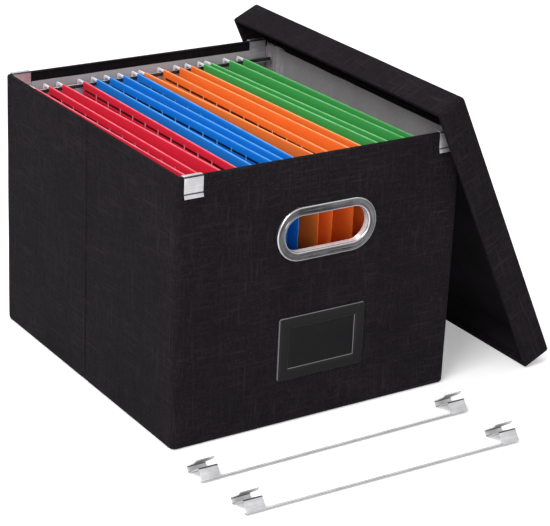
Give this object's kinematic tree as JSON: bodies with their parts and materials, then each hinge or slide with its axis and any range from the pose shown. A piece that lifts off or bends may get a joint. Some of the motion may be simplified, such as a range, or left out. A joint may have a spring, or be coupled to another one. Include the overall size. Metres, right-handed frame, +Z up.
{
  "type": "portable file box",
  "caption": "Cloth-covered file box with oval grips, a label frame, hanging folders on clip-on rails, loose spare rails and a shallow lid leaning on its side.",
  "frame": {"origin": "centre of the underside of the box, on the surface it stands on", "axes": "+X right along the front wall (the wall with the label frame), +Y from the front wall to the rear wall, +Z up"},
  "size_m": [0.4413, 0.4847, 0.3017],
  "materials": {
    "cover_cloth": "matt black woven cloth",
    "hem_cloth": "matt black hem",
    "lining_cloth": "matt grey non-woven cloth",
    "lid_lining_cloth": "matt black non-woven cloth",
    "board": "raw grey board",
    "base_board": "grey cloth-faced board",
    "bezel": "polished, ridged",
    "backplate": "moulded black",
    "label_frame": "satin black moulding",
    "label_window": "clear sheet",
    "rail_metal": "bright zinc-white sheet",
    "rod_metal": "coated steel strip",
    "hook_coating": "white coating",
    "card_red": "smooth coloured card",
    "card_blue": "smooth coloured card",
    "card_orange": "smooth coloured card",
    "card_green": "smooth coloured card"
  },
  "bodies": {
    "box": {"outer_cover": "cover_cloth", "base_cover": "cover_cloth", "front_board": "board", "rear_board": "board", "left_front_board": "board", "left_rear_board": "board", "right_front_board": "board", "right_rear_board": "board", "wall_lining": "lining_cloth", "base_lining": "lining_cloth", "base_board": "base_board", "top_hem": "hem_cloth", "front_handle_bezel": "bezel", "front_handle_backplate": "backplate", "rear_handle_bezel": "bezel", "rear_handle_backplate": "backplate", "label_frame": "label_frame", "label_window": "label_window"},
    "front_rail": {"front_rail_bar": "rail_metal", "front_rail_clips": "rail_metal"},
    "rear_rail": {"rear_rail_bar": "rail_metal", "rear_rail_clips": "rail_metal"},
    "folder_red_1": {"folder_red_1_sheet": "card_red", "folder_red_1_rods": "rod_metal", "folder_red_1_hooks": "hook_coating"},
    "folder_red_2": {"folder_red_2_sheet": "card_red", "folder_red_2_rods": "rod_metal", "folder_red_2_hooks": "hook_coating"},
    "folder_blue_1": {"folder_blue_1_sheet": "card_blue", "folder_blue_1_rods": "rod_metal", "folder_blue_1_hooks": "hook_coating"},
    "folder_blue_2": {"folder_blue_2_sheet": "card_blue", "folder_blue_2_rods": "rod_metal", "folder_blue_2_hooks": "hook_coating"},
    "folder_orange_1": {"folder_orange_1_sheet": "card_orange", "folder_orange_1_rods": "rod_metal", "folder_orange_1_hooks": "hook_coating"},
    "folder_orange_2": {"folder_orange_2_sheet": "card_orange", "folder_orange_2_rods": "rod_metal", "folder_orange_2_hooks": "hook_coating"},
    "folder_green_1": {"folder_green_1_sheet": "card_green", "folder_green_1_rods": "rod_metal", "folder_green_1_hooks": "hook_coating"},
    "folder_green_2": {"folder_green_2_sheet": "card_green", "folder_green_2_rods": "rod_metal", "folder_green_2_hooks": "hook_coating"},
    "loose_rail_a": {"loose_rail_a_bar": "rail_metal", "loose_rail_a_clips": "rail_metal"},
    "loose_rail_b": {"loose_rail_b_bar": "rail_metal", "loose_rail_b_clips": "rail_metal"},
    "lid": {"lid_board": "board", "lid_rim_boards": "board", "lid_cover": "cover_cloth", "lid_lining": "lid_lining_cloth"}
  },
  "joints": [
    {"name": "front_rail_lift", "type": "slide", "parent": "box", "child": "front_rail", "axis": [0, 0, 1], "range_m": [0, 0.015]},
    {"name": "rear_rail_lift", "type": "slide", "parent": "box", "child": "rear_rail", "axis": [0, 0, 1], "range_m": [0, 0.015]},
    {"name": "folder_red_1_lift", "type": "slide", "parent": "front_rail", "child": "folder_red_1", "axis": [0, 0, 1], "range_m": [0, 0.26]},
    {"name": "folder_red_2_lift", "type": "slide", "parent": "front_rail", "child": "folder_red_2", "axis": [0, 0, 1], "range_m": [0, 0.26]},
    {"name": "folder_blue_1_lift", "type": "slide", "parent": "front_rail", "child": "folder_blue_1", "axis": [0, 0, 1], "range_m": [0, 0.26]},
    {"name": "folder_blue_2_lift", "type": "slide", "parent": "front_rail", "child": "folder_blue_2", "axis": [0, 0, 1], "range_m": [0, 0.26]},
    {"name": "folder_orange_1_lift", "type": "slide", "parent": "front_rail", "child": "folder_orange_1", "axis": [0, 0, 1], "range_m": [0, 0.26]},
    {"name": "folder_orange_2_lift", "type": "slide", "parent": "front_rail", "child": "folder_orange_2", "axis": [0, 0, 1], "range_m": [0, 0.26]},
    {"name": "folder_green_1_lift", "type": "slide", "parent": "front_rail", "child": "folder_green_1", "axis": [0, 0, 1], "range_m": [0, 0.26]},
    {"name": "folder_green_2_lift", "type": "slide", "parent": "front_rail", "child": "folder_green_2", "axis": [0, 0, 1], "range_m": [0, 0.03]},
    {"name": "loose_rail_a_lift", "type": "slide", "parent": "box", "child": "loose_rail_a", "axis": [0, 0, 1], "range_m": [0, 0.15]},
    {"name": "loose_rail_b_lift", "type": "slide", "parent": "box", "child": "loose_rail_b", "axis": [0, 0, 1], "range_m": [0, 0.15]},
    {"name": "lid_lift", "type": "slide", "parent": "box", "child": "lid", "axis": [0, 0, 1], "range_m": [0, 0.3]}
  ],
  "couplings": [
    {"joint": "rear_rail_lift", "follows": "front_rail_lift", "ratio": 1}
  ]
}
